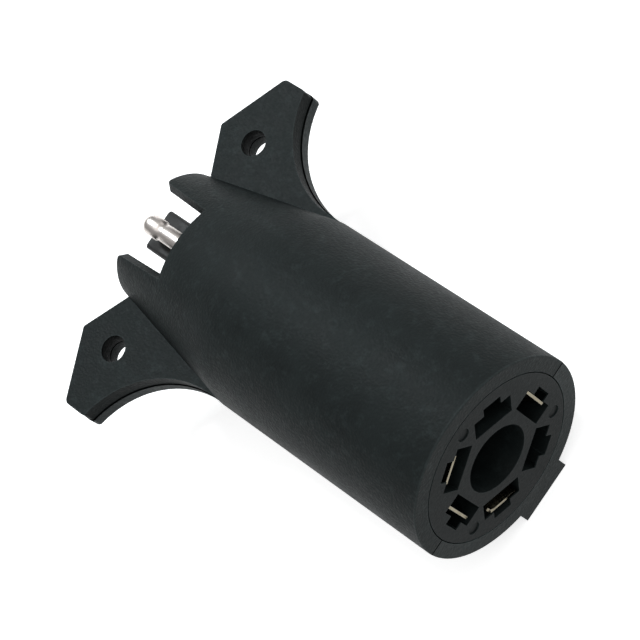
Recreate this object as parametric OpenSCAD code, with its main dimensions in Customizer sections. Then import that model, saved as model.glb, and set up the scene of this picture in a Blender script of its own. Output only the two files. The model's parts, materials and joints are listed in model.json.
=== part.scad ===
// Trailer wiring connector: a round seven-way blade plug at the front, a four-way flat connector
// at the back, and a two-piece shell with two drilled mounting wings between them.
// Frame: the origin is the centre of the seven-way face, +X points out of that face,
// +Z is opposite the key, and the wings reach out along Y.

/* [Barrel] */
// Outer radius of the round barrel
barrel_r = 23.2; // [23:0.1:23.4]
// Length of the straight barrel, from the face to the start of the taper
barrel_len = 61.3; // [61:0.1:61.8]
// Outer radius at the rear rim
rim_r = 16.1; // [16:0.1:16.4]
// Overall length, from the face to the rear rim
body_len = 99.3; // [99:0.1:99.6]
// Wall thickness of the shell
wall = 2.5; // [2.3:0.1:2.6]
// Radius on the front outer edge
front_round = 0.3; // [0.2:0.1:0.9]
// Radius on the rear outer edge
rear_round = 0.6; // [0.3:0.1:0.9]
// Radius on the corners of the rim beside a notch
horn_round = 1.3; // [0.8:0.1:1.6]
// Gap between the two shell halves
seam_gap = 0.2; // [0.1:0.02:0.24]

/* [Key] */
// Width of the key under the barrel
key_w = 14; // [13:0.5:15]
// Distance from the axis to the flat of the key
key_drop = 25.6; // [25.2:0.1:26]
// Length of the key's flat, back from the face
key_len = 36; // [32:1:40]

/* [Wings] */
// Thickness of a wing above the parting line
wing_up = 3.8; // [3.5:0.1:4.2]
// Thickness of a wing below the parting line
wing_down = 2.9; // [2.7:0.1:3.3]
// Distance from the axis to the outer edge of a wing's upper half
wing_reach = 42.9; // [42.6:0.1:43.1]
// How far the lower half of a wing stands out beyond the upper half
wing_lip = 0.25; // [0.05:0.05:0.35]
// Distance between the two wing holes
hole_pitch = 54.5; // [54:0.1:55]
// Distance from the face to the wing holes
hole_back = 92.4; // [92:0.1:92.7]
// Radius of a wing hole
hole_r = 3.1; // [2.9:0.05:3.2]

/* [Rear notches] */
// Half width of a notch at its front end
notch_front = 8.95; // [8.7:0.05:9.1]
// Half width of a notch at the rim
notch_rim = 9.55; // [9.3:0.05:9.7]
// Distance from the face to the front end of a notch
notch_back = 82.7; // [82.5:0.1:83]

/* [Seven-way insert] */
// Radius of the insert's visible disc
insert_r = 19.4; // [19.3:0.1:19.45]
// Depth of the insert
insert_depth = 18; // [17.8:0.1:18.2]
// Radius of the centre well
well_r = 7.8; // [7.5:0.1:8]
// Depth of the centre well
well_depth = 16; // [14:0.5:16.5]
// Distance from the axis to the inner wall of a blade window
window_in = 10.1; // [9.9:0.1:10.2]
// Distance from the axis to the outer wall of a blade window
window_out = 14.6; // [14.5:0.1:14.7]
// Length of a blade window
window_len = 10.2; // [10:0.1:10.4]
// Distance from the axis to the bottom of a window's outer notch
window_notch = 16.5; // [16.4:0.1:16.7]
// Width of a window's outer notch
window_notch_w = 4.8; // [4.7:0.1:5.2]

/* [Contacts] */
// Distance from the axis to the middle of a contact strip
leaf_r = 13.7; // [13.6:0.05:13.8]
// Thickness of a contact strip
leaf_t = 0.6; // [0.55:0.05:0.7]
// Width of a contact strip
leaf_w = 8.8; // [8:0.1:9]
// How far the tip of a contact strip sits behind the face
leaf_tip = 0.6; // [0.55:0.05:0.9]
// How far a contact strip bows towards the axis
leaf_bow = 1.9; // [1:0.1:2]
// Distance from the face to a contact strip's hinge line
hinge_back = 14.5; // [14.4:0.1:14.6]
// How far the tail strip's tip leans away from the axis
tail_lean = 0.45; // [-0.5:0.05:0.9]
// How far the ground strip's tip leans away from the axis
ground_lean = 0.9; // [-0.5:0.05:1]
// How far the right strip's tip leans away from the axis
right_lean = -0.45; // [-0.5:0.05:0.9]
// How far the left strip's tip leans away from the axis
left_lean = 0; // [-0.5:0.05:0.9]

/* [Four-way flat] */
// Distance between the four-way contacts
flat_pitch = 7.6; // [7.4:0.1:7.7]
// Width of the four-way block
block_w = 9.8; // [9.4:0.1:9.9]
// Height of the four-way block where the shell holds it
block_h = 30.8; // [30.4:0.1:30.8]
// Distance from the face to the end of the three-socket nose
nose_back = 98.2; // [97.6:0.1:98.5]
// Distance from the face to the tip of the bare pin
pin_back = 98.3; // [97.8:0.1:98.6]
// Radius of the bare pin's head
pin_r = 2.4; // [2.3:0.05:2.45]
// Inner radius of a socket
socket_r = 2.35; // [2.3:0.05:2.4]

/* [Wires] */
// Radius of a wire over its insulation
wire_r = 1.15; // [1:0.05:1.2]

/* [Hidden] */
$fn = 96;

// Clock positions of the four live windows, seen from the front with +Z at twelve
tail_hour = 3;
ground_hour = 7;
right_hour = 9;
left_hour = 11;

// Heights of the four-way contacts
ground_z = 1.5 * flat_pitch;
tail_z = 0.5 * flat_pitch;
left_z = -0.5 * flat_pitch;
right_z = -1.5 * flat_pitch;

big = 60;
cut = 1;
// Clearances: a seat round its piece, a closer fit, and a press fit
gap = 0.1;
slip = 0.05;
press = 0.02;

// Shell
taper = (barrel_r - rim_r) / (body_len - barrel_len);
collar_r = insert_r + 0.24;
flange_front = 4;
flange_back = 7;
flange_r = 20.9;
shoulder_r = 17.5;
retainer_back = insert_depth + 2.5;
shoulder_back = retainer_back + 2.5;
front_wall = [72, 74.5];
rear_wall = [80, notch_back + 0.5];
lug_w = 4;
peg_r = 1.2;
peg_h = 1.8;
peg_places = [[-84, 23.5], [-96.5, 35]];

// Outline of a wing's upper half: a concave front edge, tangent to the taper, and three rounded corners
scoop_r = 24.9;
scoop_c = [-64.4, wing_reach + 4.85];
scoop_start = -90;
scoop_end = -168;
wing_nose = [-60, 22.7];
wing_front = [-89.2, wing_reach];
wing_rear = [-95.1, wing_reach];
wing_tail = [-102.85, 27.05];
wing_root = [-97.1, rim_r];
wing_inside = 10;
wing_rounds = [1.4, 1.6, 0.9];

// Insert
dimple_r = 1.5;
dimple_at = 16.4;
dimple_depth = 0.3;
pocket_out = 16.2;
pocket_front = 0.3;

// Terminal: a saddle that holds the strip's rolled end, a tail and a crimp barrel
knuckle_r = 1;
saddle_front = hinge_back - 1.9;
saddle_back = insert_depth - gap;
saddle_half = 1.5;
slot_w = 1.5;
tongue_w = 4;
tongue_out = 16.4;
tail_t = 0.8;
tail_w = 5;
crimp_r = 1.9;
core_r = 0.8;
crimp_len = 6;
crimp_front = 24;
crimp_back = crimp_front + crimp_len;

// Four-way block
block_front = 70;
nose_front = 84;
block_flange = [front_wall[1] + gap, rear_wall[0] - gap];
corner_r = 1;
block_flange_size = [29, 14];
nose_margin = 3.6;
barrel_wall = 0.6;
socket_front = nose_front + 0.5;
socket_back = nose_back - 0.5;
rear_crimp_front = block_front - gap - crimp_len;
stem_r = 1.2;

// Positions along the barrel become row positions: local z runs back from the face, local x is up
module along_body() {
    rotate([0, -90, 0]) children();
}

// Local x points outwards at one clock position, and local y runs along the circle
module at_hour(hour) {
    along_body() rotate([0, 0, 30 * hour]) children();
}

// A flat profile, drawn as distance from the axis against depth, made into a strip of one width
module strip(width) {
    translate([0, width / 2, 0]) rotate([90, 0, 0]) linear_extrude(width) children();
}

// A bar along local z with rounded long edges, centred on local x and y
module rounded_bar(high, wide, long, r) {
    translate([-high / 2 + r, -wide / 2, 0]) cube([high - 2 * r, wide, long]);
    translate([-high / 2, -wide / 2 + r, 0]) cube([high, wide - 2 * r, long]);
    for (sx = [-1, 1], sy = [-1, 1])
        translate([sx * (high / 2 - r), sy * (wide / 2 - r), 0]) cylinder(h = long, r = r, $fn = 32);
}

function unit(v) = v / norm(v);

function arc(c, r, from, to, steps) =
    [for (i = [0:steps]) c + r * [cos(from + (to - from) * i / steps), sin(from + (to - from) * i / steps)]];

// Points that round the corner at p, between its neighbours a and b
function corner(a, p, b, r, steps) =
    let (u = unit(a - p), v = unit(b - p), half = acos(u * v) / 2)
    let (c = p + unit(u + v) * r / sin(half), s = p + u * r / tan(half) - c)
    let (from = atan2(s[1], s[0]), side = u[0] * v[1] - u[1] * v[0])
    arc(c, r, from, from + (side > 0 ? -1 : 1) * (180 - 2 * half), steps);

// Inner radius of the shell at one distance behind the face
function inner_r(back) = barrel_r - wall - max(0, back - barrel_len) * taper;

// The corner at p, moved outwards until both of its edges are grow further out
function grown(a, p, b, grow) =
    let (u = unit(a - p), v = unit(b - p))
    p - (u + v) * grow / sin(acos(u * v));

// Points round a wing, on an outline that is grow wider all round than its upper half
function wing_outline(grow) =
    let (scoop = arc(scoop_c, scoop_r - grow, scoop_start, scoop_end, 28), tip = scoop[len(scoop) - 1])
    let (front = grown(tip, wing_front, wing_rear, grow), rear = grown(wing_front, wing_rear, wing_tail, grow))
    let (tail = grown(wing_rear, wing_tail, wing_root, grow), root = wing_root + (tail - wing_tail))
    concat(
        [[wing_nose[0], wing_inside], wing_nose],
        scoop,
        corner(tip, front, rear, wing_rounds[0], 6),
        corner(front, rear, tail, wing_rounds[1], 6),
        corner(rear, tail, root, wing_rounds[2], 6),
        [root, [root[0], wing_inside]]
    );

// The lower half of a wing stands out slightly beyond the upper half
module wing() {
    linear_extrude(wing_up) polygon(wing_outline(0));
    translate([0, 0, -wing_down]) linear_extrude(wing_down) polygon(wing_outline(wing_lip));
}

module both_wings() {
    wing();
    mirror([0, 1, 0]) wing();
}

module shell_outside() {
    along_body() rotate_extrude($fn = 160) polygon(concat(
        [[0, 0]],
        arc([barrel_r - front_round, front_round], front_round, -90, 0, 6),
        [[barrel_r, barrel_len]],
        arc([rim_r - rear_round, body_len - rear_round], rear_round, atan(taper), 90, 5),
        [[0, body_len]]
    ));
}

// The key's flat, with a ramp where it runs out into the barrel
module key() {
    translate([0, key_w / 2, 0]) rotate([90, 0, 0]) linear_extrude(key_w) polygon([
        [0, -key_drop], [-key_len, -key_drop], [-key_len - 3, -barrel_r + 0.4],
        [-key_len - 3, -barrel_r + 2], [0, -barrel_r + 2]
    ]);
}

// One stretch of the hollow, whose radius follows the inside of the taper
module hollow(from, to) {
    bend = max(from, min(to, barrel_len));
    along_body() rotate_extrude($fn = 160) polygon([
        [0, from], [inner_r(from), from], [inner_r(bend), bend], [inner_r(to), to], [0, to]
    ]);
}

// The seat of the insert: a collar, a groove for its flange and a shoulder behind the retainer
module insert_seat() {
    along_body() rotate_extrude($fn = 160) polygon([
        [0, -cut], [collar_r, -cut], [collar_r, flange_front], [flange_r + gap, flange_front],
        [flange_r + gap, flange_back + gap], [collar_r, flange_back + gap], [collar_r, retainer_back + slip],
        [shoulder_r, retainer_back + slip], [shoulder_r, shoulder_back + cut], [0, shoulder_back + cut]
    ]);
}

// Local x runs back along one side of a notch, a nearly radial plane that opens slightly towards the rim
module at_notch_side() {
    front_up = sqrt(pow(barrel_r - (notch_back - barrel_len) * taper, 2) - pow(notch_front, 2));
    rim_up = sqrt(pow(rim_r, 2) - pow(notch_rim, 2));
    tilt = (asin(notch_front / norm([front_up, notch_front])) + asin(notch_rim / rim_r)) / 2;
    front_off = notch_front * cos(tilt) - front_up * sin(tilt);
    rim_off = notch_rim * cos(tilt) - rim_up * sin(tilt);
    skew = atan((rim_off - front_off) / (body_len - notch_back));
    rotate([-tilt, 0, 0]) translate([-notch_back, front_off, 0]) rotate([0, 0, 180 - skew]) children();
}

// Everything within one side of a notch
module notch_side() {
    at_notch_side() translate([-big / 2, 0, 0]) cube([big, big, big]);
}

// What is cut away to round the corner of the rim beside a notch
module horn_corner() {
    side_len = body_len - notch_back;
    at_notch_side() translate([side_len - horn_round, -horn_round, 0]) linear_extrude(big) difference() {
        square([horn_round + cut, horn_round + cut]);
        circle(r = horn_round, $fn = 48);
    }
}

module notch() {
    intersection() {
        translate([-body_len - cut, -big / 2, wing_up + 1]) cube([body_len - notch_back + cut, big, big]);
        union() {
            intersection() {
                notch_side();
                mirror([0, 1, 0]) notch_side();
            }
            horn_corner();
            mirror([0, 1, 0]) horn_corner();
        }
    }
}

module whole_shell() {
    difference() {
        union() {
            shell_outside();
            both_wings();
            key();
        }
        insert_seat();
        hollow(shoulder_back, front_wall[0]);
        hollow(front_wall[1], rear_wall[0]);
        hollow(rear_wall[1], body_len + cut);
        along_body() translate([0, 0, front_wall[0] - cut])
            rounded_bar(block_h + gap, block_w + gap, rear_wall[1] - front_wall[0] + 2 * cut, corner_r);
        along_body() translate([-flange_r - 1.2, -lug_w / 2 - gap, flange_front])
            cube([2, lug_w + 2 * gap, flange_back - flange_front + gap]);
        notch();
        mirror([0, 0, 1]) notch();
        for (s = [-1, 1])
            translate([-hole_back, s * hole_pitch / 2, -wing_down - cut])
                cylinder(h = wing_up + wing_down + 2 * cut, r = hole_r);
    }
}

module each_peg() {
    for (p = peg_places, s = [-1, 1])
        translate([p[0], s * p[1], 0]) children();
}

module upper_shell() {
    color("#2b2c2d") {
        difference() {
            whole_shell();
            translate([-150, -100, -100 + seam_gap / 2]) cube([200, 200, 100]);
        }
        each_peg() translate([0, 0, -peg_h]) cylinder(h = peg_h + 1, r = peg_r, $fn = 32);
    }
}

module lower_shell() {
    color("#242526") difference() {
        whole_shell();
        translate([-150, -100, -seam_gap / 2]) cube([200, 200, 100]);
        each_peg() translate([0, 0, -peg_h - gap]) cylinder(h = 2 * peg_h, r = peg_r + slip, $fn = 32);
    }
}

module blade_window() {
    half = window_len / 2;
    translate([window_in, -half, -cut]) cube([window_out - window_in, window_len, insert_depth + 2 * cut]);
    translate([window_out - cut, -window_notch_w / 2, -cut])
        cube([window_notch - window_out + cut, window_notch_w, insert_depth + 2 * cut]);
    translate([window_in, -half, pocket_front]) cube([pocket_out - window_in, window_len, insert_depth]);
}

module seven_way_insert() {
    color("#3a3c3e") difference() {
        along_body() union() {
            cylinder(h = insert_depth, r = insert_r, $fn = 128);
            translate([0, 0, flange_front + slip])
                cylinder(h = flange_back - flange_front - gap, r = flange_r, $fn = 128);
            translate([-flange_r - 1, -lug_w / 2, flange_front + slip])
                cube([2, lug_w, flange_back - flange_front - gap]);
        }
        along_body() translate([0, 0, -cut]) cylinder(h = well_depth + cut, r = well_r);
        for (hour = [1:2:11])
            at_hour(hour) blade_window();
        for (hour = [0, 4, 8])
            at_hour(hour) translate([dimple_at, 0, -cut]) cylinder(h = dimple_depth + cut, r = dimple_r, $fn = 48);
    }
}

module terminal_retainer() {
    color("#1d2226") difference() {
        along_body() translate([0, 0, insert_depth]) cylinder(h = retainer_back - insert_depth, r = insert_r);
        for (hour = [tail_hour, ground_hour, right_hour, left_hour])
            at_hour(hour) translate([leaf_r - tail_t / 2 - gap, -tail_w / 2 - gap, insert_depth - cut])
                cube([tail_t + 2 * gap, tail_w + 2 * gap, retainer_back - insert_depth + 2 * cut]);
    }
}

// A hollow barrel that a wire's core is crimped in, open towards +z
module crimp_barrel() {
    difference() {
        cylinder(h = crimp_len, r = crimp_r, $fn = 48);
        translate([0, 0, 1.5]) cylinder(h = crimp_len, r = core_r + slip, $fn = 32);
    }
}

module terminal(hour) {
    color("goldenrod") at_hour(hour) {
        difference() {
            union() {
                translate([leaf_r - saddle_half, -leaf_w / 2, saddle_front])
                    cube([pocket_out - gap - leaf_r + saddle_half, leaf_w, saddle_back - saddle_front]);
                translate([leaf_r, -tongue_w / 2, saddle_front + 0.6])
                    cube([tongue_out - leaf_r, tongue_w, saddle_back - saddle_front - 1.2]);
                translate([leaf_r - tail_t / 2, -tail_w / 2, saddle_back - cut])
                    cube([tail_t, tail_w, crimp_front - saddle_back + 1.5]);
            }
            translate([leaf_r, -big / 2, hinge_back]) rotate([-90, 0, 0]) cylinder(h = big, r = knuckle_r + slip);
            translate([leaf_r - slot_w / 2, -big / 2, 0]) cube([slot_w, big, hinge_back]);
        }
        translate([leaf_r, 0, crimp_front]) crimp_barrel();
    }
}

// Distance from the axis to the middle of a contact strip, at one share of the way from its tip
function leaf_middle(t, lean) = leaf_r + lean * (1 - t) - leaf_bow * pow(sin(180 * t), 2);

// A strip's spring, which bows towards the axis and leans at its tip, and the straight part behind it
module leaf_profile(lean) {
    bow_end = hinge_back - 2.4;
    steps = 24;
    inner = [for (i = [0:steps]) [leaf_middle(i / steps, lean) - leaf_t / 2, bow_depth(i / steps, bow_end)]];
    outer = [for (p = inner) p + [leaf_t, 0]];
    polygon(concat(
        inner,
        [[leaf_r - leaf_t / 2, hinge_back], [leaf_r + leaf_t / 2, hinge_back]],
        [for (i = [steps:-1:0]) outer[i]]
    ));
}

function bow_depth(t, bow_end) = leaf_tip + (bow_end - leaf_tip) * t;

// A strip of one width, shifted sideways, on the rolled end that turns in the saddle
module contact_leaf(hour, lean, width, shift) {
    at_hour(hour) {
        translate([0, shift, 0]) strip(width) leaf_profile(lean);
        translate([leaf_r, -leaf_w / 2, hinge_back]) rotate([-90, 0, 0]) cylinder(h = leaf_w, r = knuckle_r);
    }
}

// The narrow ground strip has one corner of its tip turned in towards the axis
module ground_leaf() {
    width = 7;
    shift = -0.9;
    ear_len = 1.6;
    r = leaf_r + ground_lean;
    y = shift + width / 2;
    contact_leaf(ground_hour, ground_lean, width, shift);
    at_hour(ground_hour) translate([0, 0, leaf_tip]) linear_extrude(ear_len) polygon([
        [r - leaf_t / 2, y - 0.8], [r + leaf_t / 2, y - 0.8], [r + leaf_t / 2, y], [r - 0.2, y + 0.6],
        [r - 1.6, y + 1.3], [r - 1.9, y + 0.8], [r - 0.7, y + 0.1]
    ]);
}

module four_flat_block() {
    nose_top = tail_z + nose_margin;
    nose_h = nose_top + block_h / 2;
    color("#17181a") difference() {
        along_body() union() {
            translate([0, 0, block_front]) rounded_bar(block_h, block_w, nose_front - block_front, corner_r);
            translate([0, 0, block_flange[0]])
                rounded_bar(block_flange_size[0], block_flange_size[1], block_flange[1] - block_flange[0], corner_r);
            translate([nose_top - nose_h / 2, 0, nose_front - cut])
                rounded_bar(nose_h, block_w, nose_back - nose_front + cut, corner_r);
        }
        for (z = [tail_z, left_z, right_z])
            translate([0, 0, z]) along_body() {
                translate([0, 0, nose_front - 0.5])
                    cylinder(h = socket_back - nose_front + 0.5, r = socket_r + barrel_wall + press);
                translate([0, 0, nose_front]) cylinder(h = nose_back - nose_front + cut, r = socket_r);
                translate([0, 0, block_front - cut])
                    cylinder(h = nose_front - block_front + cut, r = stem_r + press, $fn = 48);
            }
        translate([0, 0, ground_z]) along_body() {
            translate([0, 0, nose_front - 6]) cylinder(h = 7, r = 2.12, $fn = 64);
            translate([0, 0, block_front - cut])
                cylinder(h = nose_front - block_front, r = stem_r + press, $fn = 48);
        }
    }
}

// The rear end of a four-way contact: its stem through the block, and its crimp barrel
module rear_crimp(stem_end) {
    translate([0, 0, block_front - gap - cut]) cylinder(h = stem_end - block_front + gap + cut, r = stem_r, $fn = 48);
    translate([0, 0, block_front - gap]) mirror([0, 0, 1]) crimp_barrel();
}

module ground_pin() {
    shank_r = 2.1;
    neck_r = 2.05;
    nose_r = 1.9;
    color("silver") translate([0, 0, ground_z]) along_body() {
        rotate_extrude($fn = 64) polygon(concat(
            [[0, nose_front - 6], [shank_r, nose_front - 6], [shank_r, pin_back - 6.6], [neck_r, pin_back - 6.1],
             [neck_r, pin_back - 5.3], [pin_r, pin_back - 4.6], [pin_r, pin_back - nose_r]],
            arc([pin_r - nose_r, pin_back - nose_r], nose_r, 0, 90, 8),
            [[0, pin_back]]
        ));
        rear_crimp(nose_front - 6);
    }
}

module socket(z) {
    color("gold") translate([0, 0, z]) along_body() {
        difference() {
            translate([0, 0, socket_front - 1])
                cylinder(h = socket_back - socket_front + 1, r = socket_r + barrel_wall, $fn = 64);
            translate([0, 0, socket_front]) cylinder(h = socket_back, r = socket_r, $fn = 64);
        }
        rear_crimp(socket_front - 1 + 2 * gap);
    }
}

function ease(t) = t <= 0 ? 0 : t >= 1 ? 1 : t * t * (3 - 2 * t);

// A wire's middle line, which swings across between two shares of its length, with a sideways belly
function route(hour, z, from, to, belly, t) =
    let (s = ease((t - from) / (to - from)), a = 30 * hour)
    [
        -crimp_back - (rear_crimp_front - crimp_back) * t,
        leaf_r * sin(a) * (1 - s) + belly * pow(sin(180 * t), 2),
        leaf_r * cos(a) * (1 - s) + z * s
    ];

// A round tube along a list of points, closed at both ends
module sweep(points, r, sides) {
    n = len(points);
    rings = [for (i = [0:n - 1])
        let (ahead = unit(points[min(i + 1, n - 1)] - points[max(i - 1, 0)]))
        let (across = unit(cross(ahead, [0, 1, 0])), up = cross(ahead, across))
        for (j = [0:sides - 1]) points[i] + r * (across * cos(360 * j / sides) + up * sin(360 * j / sides))
    ];
    polyhedron(rings, concat(
        [[for (j = [0:sides - 1]) j]],
        [for (i = [0:n - 2], j = [0:sides - 1]) let (k = (j + 1) % sides)
            [i * sides + j, (i + 1) * sides + j, (i + 1) * sides + k, i * sides + k]],
        [[for (j = [sides - 1:-1:0]) (n - 1) * sides + j]]
    ));
}

module wire(hour, z, from, to, belly) {
    steps = 26;
    core_len = 4;
    sweep([for (i = [0:steps]) route(hour, z, from, to, belly, i / steps)], wire_r, 10);
    at_hour(hour) translate([leaf_r, 0, crimp_back - core_len]) cylinder(h = core_len + 0.5, r = core_r, $fn = 24);
    translate([0, 0, z]) along_body() translate([0, 0, rear_crimp_front - 0.5])
        cylinder(h = core_len + 0.5, r = core_r, $fn = 24);
}

module tail_terminal() { terminal(tail_hour); }
module ground_terminal() { terminal(ground_hour); }
module right_terminal() { terminal(right_hour); }
module left_terminal() { terminal(left_hour); }
module tail_contact_leaf() { color("gold") contact_leaf(tail_hour, tail_lean, leaf_w - 0.8, -0.3); }
module ground_contact_leaf() { color("gold") ground_leaf(); }
module right_contact_leaf() { color("gold") contact_leaf(right_hour, right_lean, leaf_w, 0); }
module left_contact_leaf() { color("gold") contact_leaf(left_hour, left_lean, leaf_w - 2.4, -0.2); }
module tail_socket() { socket(tail_z); }
module left_socket() { socket(left_z); }
module right_socket() { socket(right_z); }
module ground_wire() { color("white") wire(ground_hour, ground_z, 0.04, 0.64, 6); }
module tail_wire() { color("sienna") wire(tail_hour, tail_z, 0.3, 0.96, 0); }
module left_wire() { color("yellow") wire(left_hour, left_z, 0.3, 0.96, 0); }
module right_wire() { color("green") wire(right_hour, right_z, 0.3, 0.96, 0); }

upper_shell();
lower_shell();
seven_way_insert();
terminal_retainer();
tail_terminal();
ground_terminal();
right_terminal();
left_terminal();
tail_contact_leaf();
ground_contact_leaf();
right_contact_leaf();
left_contact_leaf();
four_flat_block();
ground_pin();
tail_socket();
left_socket();
right_socket();
ground_wire();
tail_wire();
left_wire();
right_wire();
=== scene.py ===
import json
import math

import bpy
from mathutils import Matrix, Vector


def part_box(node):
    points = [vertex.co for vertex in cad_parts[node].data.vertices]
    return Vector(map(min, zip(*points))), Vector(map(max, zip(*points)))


MM = 0.001


# ---------------------------------------------------------------- node helpers

# How far a rounded normal turns away where an edge starts to show, and where it shows fully
EDGE_TURN_LOW, EDGE_TURN_HIGH = 0.02, 0.25
EDGE_SAMPLES = 4
# The upward part of the normal from which a surface counts as level
LEVEL_NORMAL = 0.8


class Graph:
    """A material's node tree, with short calls for the nodes used here."""

    def __init__(self, name):
        self.material = bpy.data.materials.new(name)
        self.material.use_nodes = True
        self.tree = self.material.node_tree
        self.tree.nodes.clear()
        self.shader = self.node("ShaderNodeBsdfPrincipled")
        output = self.node("ShaderNodeOutputMaterial")
        self.link(self.shader.outputs["BSDF"], output.inputs["Surface"])
        self.place = self.node("ShaderNodeTexCoord").outputs["Object"]

    def node(self, kind, **settings):
        made = self.tree.nodes.new(kind)
        for key, value in settings.items():
            setattr(made, key, value)
        return made

    def link(self, source, target):
        self.tree.links.new(source, target)

    def feed(self, target, value):
        """Sets a socket to a number or colour, or links another socket to it."""
        if isinstance(value, bpy.types.NodeSocket):
            self.link(value, target)
        else:
            target.default_value = value

    def noise(self, size, detail=3.0, rough=0.55, stretch=None):
        """Noise whose features are about size metres across; stretch scales it along X, Y and Z."""
        made = self.node("ShaderNodeTexNoise")
        made.inputs["Scale"].default_value = 1.0 / size
        made.inputs["Detail"].default_value = detail
        made.inputs["Roughness"].default_value = rough
        self.link(self.stretched(stretch), made.inputs["Vector"])
        return made.outputs["Fac"]

    def stretched(self, stretch):
        """The object's own coordinates, scaled along X, Y and Z."""
        if stretch is None:
            return self.place
        mapping = self.node("ShaderNodeMapping")
        mapping.inputs["Scale"].default_value = stretch
        self.link(self.place, mapping.inputs["Vector"])
        return mapping.outputs["Vector"]

    def cells(self, size, smooth=0.0):
        """Distance from the middle of cells about size metres across; smooth blurs their borders."""
        made = self.node("ShaderNodeTexVoronoi", feature="SMOOTH_F1" if smooth else "F1")
        made.inputs["Scale"].default_value = 1.0 / size
        if smooth:
            made.inputs["Smoothness"].default_value = smooth
        self.link(self.place, made.inputs["Vector"])
        return made.outputs["Distance"]

    def remap(self, value, low, high, to_low, to_high):
        """value carried from low..high to to_low..to_high, and held at those ends."""
        made = self.node("ShaderNodeMapRange")
        self.feed(made.inputs["Value"], value)
        for socket, number in zip(made.inputs[1:5], (low, high, to_low, to_high)):
            socket.default_value = number
        return made.outputs["Result"]

    def math(self, operation, a, b=0.0):
        made = self.node("ShaderNodeMath", operation=operation)
        self.feed(made.inputs[0], a)
        self.feed(made.inputs[1], b)
        return made.outputs["Value"]

    def mix(self, factor, a, b):
        """Colour a where factor is 0 and colour b where it is 1."""
        made = self.node("ShaderNodeMix", data_type="RGBA")
        self.feed(made.inputs["Factor"], factor)
        self.feed(made.inputs[6], a)
        self.feed(made.inputs[7], b)
        return made.outputs[2]

    def scaled(self, colour, factor):
        """A colour made darker or lighter by factor."""
        made = self.node("ShaderNodeVectorMath", operation="SCALE")
        self.feed(made.inputs[0], colour)
        self.feed(made.inputs["Scale"], factor)
        return made.outputs["Vector"]

    def upright(self):
        """0 on level surfaces and 1 on upright ones."""
        normal = self.node("ShaderNodeSeparateXYZ")
        self.link(self.node("ShaderNodeNewGeometry").outputs["Normal"], normal.inputs["Vector"])
        return self.remap(self.math("ABSOLUTE", normal.outputs["Z"]), 0.0, LEVEL_NORMAL, 1.0, 0.0)

    def along(self, axis):
        """Position along one of the object's own axes, in metres."""
        place = self.node("ShaderNodeSeparateXYZ")
        self.link(self.place, place.inputs["Vector"])
        return place.outputs[axis]

    def bump(self, height, depth):
        """A normal tilted by height, a value of about 0 to 1 that stands for depth metres."""
        made = self.node("ShaderNodeBump")
        made.inputs["Strength"].default_value = 1.0
        made.inputs["Distance"].default_value = depth
        self.link(height, made.inputs["Height"])
        return made.outputs["Normal"]

    def edge(self, radius):
        """0 on flat stretches and 1 on sharp edges, from how far the rounded normal turns away."""
        bevel = self.node("ShaderNodeBevel", samples=EDGE_SAMPLES)
        bevel.inputs["Radius"].default_value = radius
        geometry = self.node("ShaderNodeNewGeometry")
        dot = self.node("ShaderNodeVectorMath", operation="DOT_PRODUCT")
        self.link(bevel.outputs["Normal"], dot.inputs[0])
        self.link(geometry.outputs["Normal"], dot.inputs[1])
        turn = self.math("SUBTRACT", 1.0, dot.outputs["Value"])
        return self.remap(turn, EDGE_TURN_LOW, EDGE_TURN_HIGH, 0.0, 1.0)

    def set(self, **values):
        """Feeds the main shader's sockets by name, with _ for a space, and gives the material."""
        for key, value in values.items():
            self.feed(self.shader.inputs[key.replace("_", " ")], value)
        return self.material


def grey(value, warm=0.0):
    """A grey, or a slightly warm one where warm is above 0."""
    return (value * (1 + warm), value, value * (1 - warm), 1.0)


def tint(value):
    """The cool, slightly green black of the shell's plastic."""
    return (value * 0.78, value * 1.05, value * 1.05, 1.0)


# ---------------------------------------------------------------- materials

# How light parts of the split shell are, as shares of its colour, set by comparing brightness with
# the photograph. The lower half and its wing walls are painted lighter, a painted light from the
# pale floor below; the parting line carries painted shade.
LOWER_HALF_PAINTED_LIGHT = 1.35
WING_WALL_PAINTED_LIGHT = 1.7
SEAM_PAINTED_SHADE = 0.15
RIM_SHARE = 1.75
# Half the width of the painted shade along the parting line: where it starts to fade, and where it
# is gone
SEAM_DARK, SEAM_GONE = 0.16 * MM, 0.26 * MM
# Depth below the parting plane by which the lower half's share is reached
LOWER_FADE = 0.2 * MM
# Distance from the middle at which the shell's sides become wings
WING_START, WING_FULL = 24 * MM, 28 * MM
# Depths behind the front face over which the rim's share fades out
RIM_FULL, RIM_GONE = 0.1 * MM, 0.6 * MM
# Painted shade in the insert's openings: how light their walls are where they are deepest, as a
# share
OPENING_PAINTED_SHADE = 0.9
OPENING_START = 0.3 * MM
# The pale tone of dust, and of worn edges that also carry a painted highlight
PLASTIC_EDGE = tint(0.05)
PLASTIC_SPECULAR = 0.12


def split_share(g, light_share, upright):
    """light_share for a shell in two halves: painted shade along the parting line, a lower half
    painted lighter by painted light from the floor below, lightest along the edge of its wings, and
    a front rim that is paler."""
    z = g.along("Z")
    lower = g.remap(z, -LOWER_FADE, 0.0, 1.0, 0.0)
    wing = g.remap(g.math("ABSOLUTE", g.along("Y")), WING_START, WING_FULL, 0.0, 1.0)
    # Painted light on the upright walls of the lower half's wings
    lip = g.math("MULTIPLY", upright, g.math("MULTIPLY", wing, lower))
    shares = (
        g.remap(lower, 0.0, 1.0, 1.0, LOWER_HALF_PAINTED_LIGHT),
        g.remap(lip, 0.0, 1.0, 1.0, WING_WALL_PAINTED_LIGHT),
        g.remap(g.math("ABSOLUTE", z), SEAM_DARK, SEAM_GONE, SEAM_PAINTED_SHADE, 1.0),
        g.remap(g.along("X"), -RIM_GONE, -RIM_FULL, 1.0, RIM_SHARE),
    )
    for share in shares:
        light_share = g.math("MULTIPLY", light_share, share)
    return light_share


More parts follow.
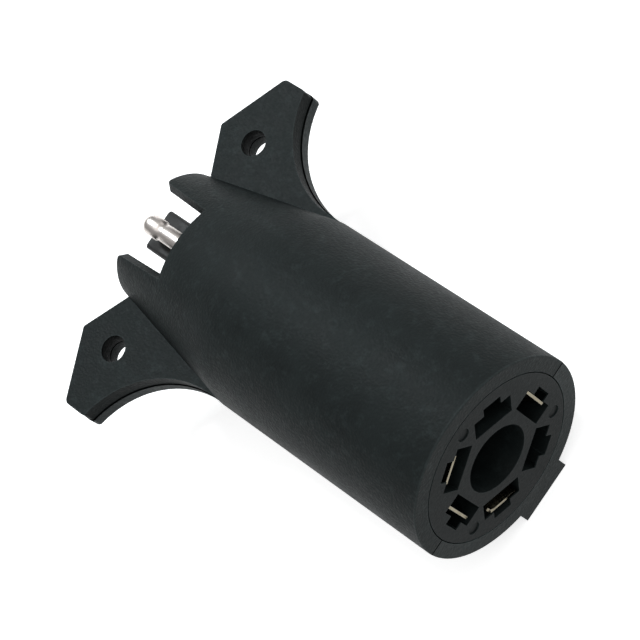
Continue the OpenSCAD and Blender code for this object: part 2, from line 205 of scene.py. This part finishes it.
def moulded_plastic(name, base, light, pebble_size, pebble_depth, rough, wall_painted_shade, shade=None,
                    split=False):
    """Black moulded plastic: a pebbled grain, faint clouding, dust, and edges painted paler in
    patches, partly wear and partly a painted highlight.

    wall_painted_shade is the painted shade on its upright walls: how much darker they are, as a
    share.
    shade is how far behind the face, in metres, the painted shade in its openings reaches its
    darkest share.
    split is for a shell in two halves."""
    g = Graph(name)
    cloud = g.remap(g.noise(8 * MM, detail=4.0), 0.3, 0.7, 0.0, 1.0)
    fleck = g.remap(g.noise(0.7 * MM, detail=3.0), 0.38, 0.72, 0.0, 1.0)
    dust = g.remap(g.noise(2.4 * MM, detail=5.0, rough=0.7), 0.52, 0.72, 0.0, 1.0)
    # Edges painted paler in patches: partly wear, partly a painted highlight
    wear_and_edge_highlight = g.math("MULTIPLY", g.edge(0.5 * MM), g.remap(g.noise(1.6 * MM), 0.35, 0.65, 0.35, 1.0))
    colour = g.mix(cloud, base, light)
    colour = g.mix(g.math("MULTIPLY", fleck, 0.5), colour, light)
    colour = g.mix(g.math("MULTIPLY", dust, 0.25), colour, PLASTIC_EDGE)
    colour = g.mix(g.math("MULTIPLY", wear_and_edge_highlight, 0.75), colour, PLASTIC_EDGE)
    pebble = g.cells(pebble_size, smooth=0.45)
    fine = g.noise(pebble_size * 0.5, detail=2.0)
    height = g.math("ADD", g.math("MULTIPLY", pebble, 0.8), g.math("MULTIPLY", fine, 0.5))
    normal = g.bump(height, pebble_depth)
    roughness = g.math("ADD", g.remap(cloud, 0.0, 1.0, rough - 0.04, rough + 0.04),
                       g.remap(fleck, 0.0, 1.0, -0.05, 0.06))
    upright = g.upright()
    # Painted shade: upright walls darker, in colour and in specular
    light_share = g.remap(upright, 0.0, 1.0, 1.0, 1.0 - wall_painted_shade)
    if split:
        light_share = split_share(g, light_share, upright)
    if shade is not None:
        # Painted shade, darker deeper inside the openings
        lit = g.remap(g.along("X"), -shade, -OPENING_START, OPENING_PAINTED_SHADE, 1.0)
        light_share = g.math("MULTIPLY", light_share, lit)
    return g.set(Base_Color=g.scaled(colour, light_share), Roughness=roughness, Normal=normal,
                 Specular_IOR_Level=g.math("MULTIPLY", light_share, PLASTIC_SPECULAR))


def shell_plastic():
    return moulded_plastic("shell_plastic", tint(0.0088), tint(0.0145), pebble_size=0.6 * MM,
                           pebble_depth=0.08 * MM, rough=0.6, wall_painted_shade=0.5, split=True)


def insert_plastic():
    return moulded_plastic("insert_plastic", tint(0.011), tint(0.016), pebble_size=0.5 * MM,
                           pebble_depth=0.03 * MM, rough=0.46, wall_painted_shade=0.45, shade=3.0 * MM)


def block_rubber():
    """Soft black rubber with a dusty bloom and a fine skin."""
    g = Graph("block_rubber")
    bloom = g.remap(g.noise(3.0 * MM, detail=5.0), 0.42, 0.7, 0.0, 1.0)
    colour = g.mix(g.math("MULTIPLY", bloom, 0.5), grey(0.011), grey(0.03, 0.03))
    colour = g.mix(g.math("MULTIPLY", g.edge(0.4 * MM), 0.5), colour, grey(0.05))
    skin = g.math("ADD", g.noise(0.35 * MM, detail=3.0), g.math("MULTIPLY", g.cells(0.8 * MM), 0.3))
    normal = g.bump(skin, 0.03 * MM)
    roughness = g.remap(bloom, 0.0, 1.0, 0.55, 0.75)
    return g.set(Base_Color=colour, Roughness=roughness, Normal=normal, Specular_IOR_Level=0.4)


BRASS_BRIGHT, BRASS_DULL = (0.27, 0.24, 0.17, 1), (0.19, 0.165, 0.105, 1)
BRASS_CUT = (0.27, 0.26, 0.235, 1)
# Painted shade darkens the brass inside the windows, from the first depth behind the face to the
# second
BRASS_LIT, BRASS_DEEP = 0.65 * MM, 1.6 * MM
BRASS_PAINTED_SHADE = 0.15


def brass():
    """Stamped brass strip: rolling lines, patchy tarnish and sheared edges of a cooler tone."""
    g = Graph("brass")
    rolled = g.noise(0.25 * MM, detail=3.0, stretch=(0.08, 1.0, 1.0))
    tarnish = g.remap(g.noise(2.2 * MM, detail=5.0, rough=0.65), 0.4, 0.68, 0.0, 1.0)
    colour = g.mix(g.math("MULTIPLY", tarnish, 0.7), BRASS_BRIGHT, BRASS_DULL)
    colour = g.mix(g.edge(0.25 * MM), colour, BRASS_CUT)
    # Painted shade deeper inside the windows
    colour = g.scaled(colour, g.remap(g.along("X"), -BRASS_DEEP, -BRASS_LIT, BRASS_PAINTED_SHADE, 1.0))
    roughness = g.math("ADD", g.remap(tarnish, 0.0, 1.0, 0.2, 0.36),
                       g.remap(rolled, 0.3, 0.7, -0.05, 0.08))
    normal = g.bump(rolled, 0.012 * MM)
    return g.set(Base_Color=colour, Metallic=1.0, Roughness=roughness, Normal=normal)


NICKEL_BRIGHT, NICKEL_DULL = (0.75, 0.695, 0.66, 1), (0.52, 0.465, 0.425, 1)
NICKEL_PIT = (0.32, 0.28, 0.22, 1)


def nickel():
    """Bright nickel plate over brass, with turning marks round the axis and a little dulling."""
    g = Graph("nickel")
    turned = g.noise(0.16 * MM, detail=2.0, stretch=(1.0, 0.12, 0.12))
    haze = g.remap(g.noise(1.4 * MM, detail=5.0), 0.4, 0.7, 0.0, 1.0)
    pits = g.remap(g.cells(0.55 * MM), 0.0, 0.16, 1.0, 0.0)
    colour = g.mix(g.math("MULTIPLY", haze, 0.55), NICKEL_BRIGHT, NICKEL_DULL)
    colour = g.mix(g.math("MULTIPLY", pits, 0.25), colour, NICKEL_PIT)
    roughness = g.math("ADD", g.remap(haze, 0.0, 1.0, 0.32, 0.44),
                       g.remap(turned, 0.3, 0.7, -0.03, 0.06))
    normal = g.bump(turned, 0.012 * MM)
    return g.set(Base_Color=colour, Metallic=1.0, Roughness=roughness, Normal=normal)


def insulation(name, colour, darker):
    """Extruded wire insulation: faint drawing lines along it and a slightly uneven colour."""
    g = Graph(name)
    drawn = g.noise(0.3 * MM, detail=2.0, stretch=(0.1, 1.0, 1.0))
    uneven = g.mix(g.remap(g.noise(2.5 * MM), 0.35, 0.65, 0.0, 1.0), colour, darker)
    roughness = g.remap(drawn, 0.3, 0.7, 0.28, 0.42)
    return g.set(Base_Color=uneven, Roughness=roughness, Normal=g.bump(drawn, 0.02 * MM))


# The floor gives off a little light of its own, so that it stays near white as in the photograph
FLOOR_GLOW = 0.69


def floor_paint():
    """A plain pale studio floor, very slightly mottled."""
    g = Graph("floor_paint")
    tone = g.mix(g.noise(60 * MM, detail=4.0), grey(0.84), grey(0.87))
    return g.set(Base_Color=tone, Roughness=0.9, Normal=g.bump(g.noise(2 * MM), 0.02 * MM),
                 Emission_Color=grey(1.0), Emission_Strength=FLOOR_GLOW)


# Each wire's colour, and the darker tone it varies to
INSULATION = {
    "white_insulation": (grey(0.78), grey(0.7)),
    "brown_insulation": ((0.14, 0.06, 0.025, 1), (0.1, 0.045, 0.02, 1)),
    "yellow_insulation": ((0.8, 0.58, 0.05, 1), (0.7, 0.48, 0.04, 1)),
    "green_insulation": ((0.04, 0.28, 0.09, 1), (0.03, 0.2, 0.07, 1)),
}


def make_materials():
    """Every material, under the name of the slot that uses it."""
    made = {
        "shell_plastic": shell_plastic(),
        "insert_plastic": insert_plastic(),
        "block_rubber": block_rubber(),
        "brass": brass(),
        "nickel": nickel(),
    }
    for name, (colour, darker) in INSULATION.items():
        made[name] = insulation(name, colour, darker)
    return made


# ---------------------------------------------------------------- CAD nodes

# Width of the rounding on a node's sharp edges, in metres
EDGE_ROUND = {
    "upper_shell": 0.25 * MM,
    "lower_shell": 0.25 * MM,
    "seven_way_insert": 0.22 * MM,
    "four_flat_block": 0.35 * MM,
}
SMALL_ROUND = 0.08 * MM
ROUND_SEGMENTS = 3
SHARP_ANGLE = math.radians(32)
WELD_WITHIN = 0.002 * MM


def dress(node, obj, material):
    """Gives a CAD node its material, and rounds its sharp edges so that they catch the light."""
    obj.data.materials.clear()
    obj.data.materials.append(material)
    weld = obj.modifiers.new("weld", "WELD")
    weld.merge_threshold = WELD_WITHIN
    bevel = obj.modifiers.new("edge_round", "BEVEL")
    bevel.width = EDGE_ROUND.get(node, SMALL_ROUND)
    bevel.segments = ROUND_SEGMENTS
    bevel.limit_method = "ANGLE"
    bevel.angle_limit = SHARP_ANGLE


# ---------------------------------------------------------------- stage

# Half the floor's width, in metres
FLOOR_HALF = 3.0


def make_floor(material):
    """A square floor at the level of the part's lowest point."""
    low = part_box("lower_shell")[0].z
    mesh = bpy.data.meshes.new("floor")
    corners = [(-1, -1), (1, -1), (1, 1), (-1, 1)]
    points = [(x * FLOOR_HALF, y * FLOOR_HALF, low) for x, y in corners]
    mesh.from_pydata(points, [], [(0, 1, 2, 3)])
    floor = bpy.data.objects.new("floor", mesh)
    bpy.context.scene.collection.objects.link(floor)
    mesh.materials.append(material)


# Area lights: where each stands from the middle of the part, its size, watts and colour
LIGHTS = {
    "overhead": ((0.2, 0.0, 1.3), (1.6, 1.6), 7.2, (1, 1, 1)),
    "ridge": ((-0.62, 0.18, 0.9), (0.15, 0.34), 8.6, (0.9, 0.97, 1.0)),
    "side": ((0.1, 1.1, 0.5), (0.9, 0.5), 1.2, (1, 1, 1)),
}
BACKGROUND_STRENGTH = 0.28


def area_light(name, at, aim, size, watts, colour):
    """A rectangular light at at, turned to face aim."""
    data = bpy.data.lights.new(name, "AREA")
    data.shape = "RECTANGLE"
    data.size, data.size_y = size
    data.energy = watts
    data.color = colour
    light = bpy.data.objects.new(name, data)
    bpy.context.scene.collection.objects.link(light)
    light.location = at
    light.rotation_euler = (aim - at).to_track_quat("-Z", "Y").to_euler()


def make_lights():
    world = bpy.data.worlds.new("studio")
    bpy.context.scene.world = world
    world.use_nodes = True
    back = world.node_tree.nodes["Background"]
    back.inputs["Color"].default_value = (1, 1, 1, 1)
    back.inputs["Strength"].default_value = BACKGROUND_STRENGTH
    low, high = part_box("upper_shell")
    middle = (low + high) / 2
    for name, (offset, size, watts, colour) in LIGHTS.items():
        area_light(name, middle + Vector(offset), middle, size, watts, colour)


# The photograph's viewpoint: where the camera stands, which way it looks, which way its right side
# points, and its lens and sensor width in mm
CAMERA_AT = Vector((231.1, -1.62, 418.5)) * MM
CAMERA_AIM = Vector((-0.5630, 0.0096, -0.8264))
CAMERA_RIGHT = Vector((0.6862, 0.5626, -0.4610))
CAMERA_LENS = 134.8
SENSOR_WIDTH = 36.0
# Nearest and farthest distances it sees, in metres
CLIP_NEAR, CLIP_FAR = 0.01, 20.0


def make_camera():
    data = bpy.data.cameras.new("camera")
    data.lens = CAMERA_LENS
    data.sensor_width = SENSOR_WIDTH
    data.clip_start = CLIP_NEAR
    data.clip_end = CLIP_FAR
    camera = bpy.data.objects.new("camera", data)
    bpy.context.scene.collection.objects.link(camera)
    back = -CAMERA_AIM.normalized()
    right = (CAMERA_RIGHT - CAMERA_RIGHT.dot(back) * back).normalized()
    up = back.cross(right)
    turn = Matrix((right, up, back)).transposed().to_4x4()
    camera.matrix_world = Matrix.Translation(CAMERA_AT) @ turn
    bpy.context.scene.camera = camera
    bpy.context.scene.view_settings.view_transform = "Standard"


# ---------------------------------------------------------------- main

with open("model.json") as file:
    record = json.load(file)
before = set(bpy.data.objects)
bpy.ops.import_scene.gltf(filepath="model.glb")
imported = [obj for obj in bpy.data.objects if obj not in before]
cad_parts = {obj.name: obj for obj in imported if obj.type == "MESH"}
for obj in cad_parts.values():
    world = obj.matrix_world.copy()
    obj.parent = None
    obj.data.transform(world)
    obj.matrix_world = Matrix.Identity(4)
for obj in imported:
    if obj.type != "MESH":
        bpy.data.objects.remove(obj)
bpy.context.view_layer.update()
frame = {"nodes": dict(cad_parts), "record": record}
make_camera()
materials = make_materials()
slots = {s["node"]: s["material_slot"] for s in frame["record"]["subparts"]}
for node, obj in frame["nodes"].items():
    dress(node, obj, materials[slots[node]])
make_floor(floor_paint())
make_lights()
